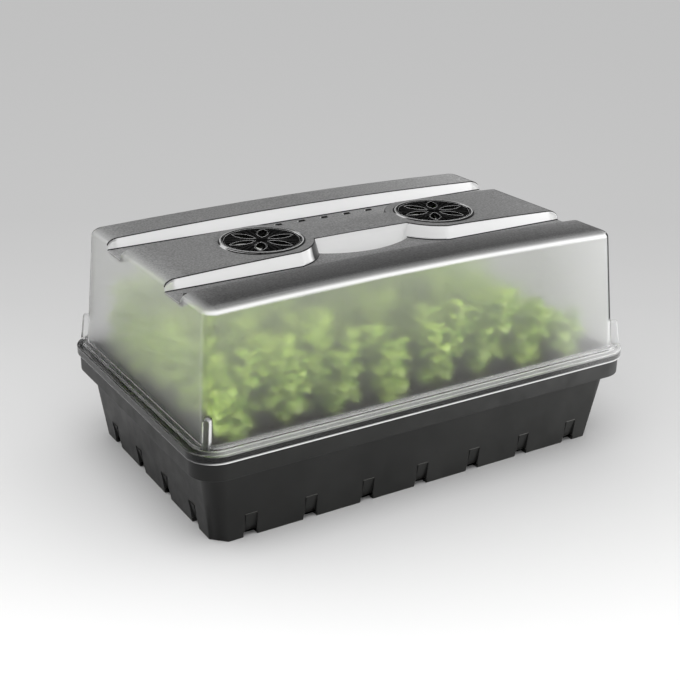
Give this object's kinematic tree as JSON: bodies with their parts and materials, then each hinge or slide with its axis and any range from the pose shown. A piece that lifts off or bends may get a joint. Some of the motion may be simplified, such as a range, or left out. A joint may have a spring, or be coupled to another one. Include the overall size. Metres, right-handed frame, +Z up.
{
  "type": "humidity dome tray",
  "caption": "Seed-starting tray with a lift-out cell insert, growing plugs and seedlings under a vented frosted dome that carries light-bar channels and a carry handle.",
  "frame": {"origin": "centre of the footprint, on the surface the tray stands on", "axes": "+X along the length, +Y across the width towards the back, +Z up out of the dome's top"},
  "size_m": [0.3708, 0.239, 0.1739],
  "materials": {
    "tray_plastic": "satin charcoal black moulded plastic",
    "cell_plastic": "thin black formed plastic",
    "frosted_plastic": "frosted translucent clear plastic with a fine texture",
    "vent_plastic": "black moulded plastic with fine radial pleats",
    "growing_medium": "damp fibrous growing plug",
    "leaf": "soft seedling leaves"
  },
  "bodies": {
    "base": {"base_tray": "tray_plastic"},
    "cells": {"cell_tray": "cell_plastic", "plugs_row_1": "growing_medium", "plugs_row_2": "growing_medium", "plugs_row_3": "growing_medium", "plugs_row_4": "growing_medium", "plugs_row_5": "growing_medium", "seedlings_row_1": "leaf", "seedlings_row_2": "leaf", "seedlings_row_3": "leaf", "seedlings_row_4": "leaf", "seedlings_row_5": "leaf"},
    "dome": {"dome": "frosted_plastic", "vent_grille_left": "vent_plastic", "vent_grille_right": "vent_plastic", "vent_pin_left": "vent_plastic", "vent_pin_right": "vent_plastic"},
    "left_dial": {"vent_dial_left": "vent_plastic"},
    "right_dial": {"vent_dial_right": "vent_plastic"}
  },
  "joints": [
    {"name": "cells_lift", "type": "slide", "parent": "base", "child": "cells", "axis": [0, 0, 1], "range_m": [0, 0.08]},
    {"name": "dome_lift", "type": "slide", "parent": "cells", "child": "dome", "axis": [0, 0, 1], "range_m": [0, 0.1]},
    {"name": "left_vent_turn", "type": "hinge", "parent": "dome", "child": "left_dial", "pos_m": [-0.0757, 0, 0.1725], "axis": [0, 0, 1], "range_deg": [-10, 20]},
    {"name": "right_vent_turn", "type": "hinge", "parent": "dome", "child": "right_dial", "pos_m": [0.0757, 0, 0.1725], "axis": [0, 0, 1], "range_deg": [-10, 20]}
  ]
}
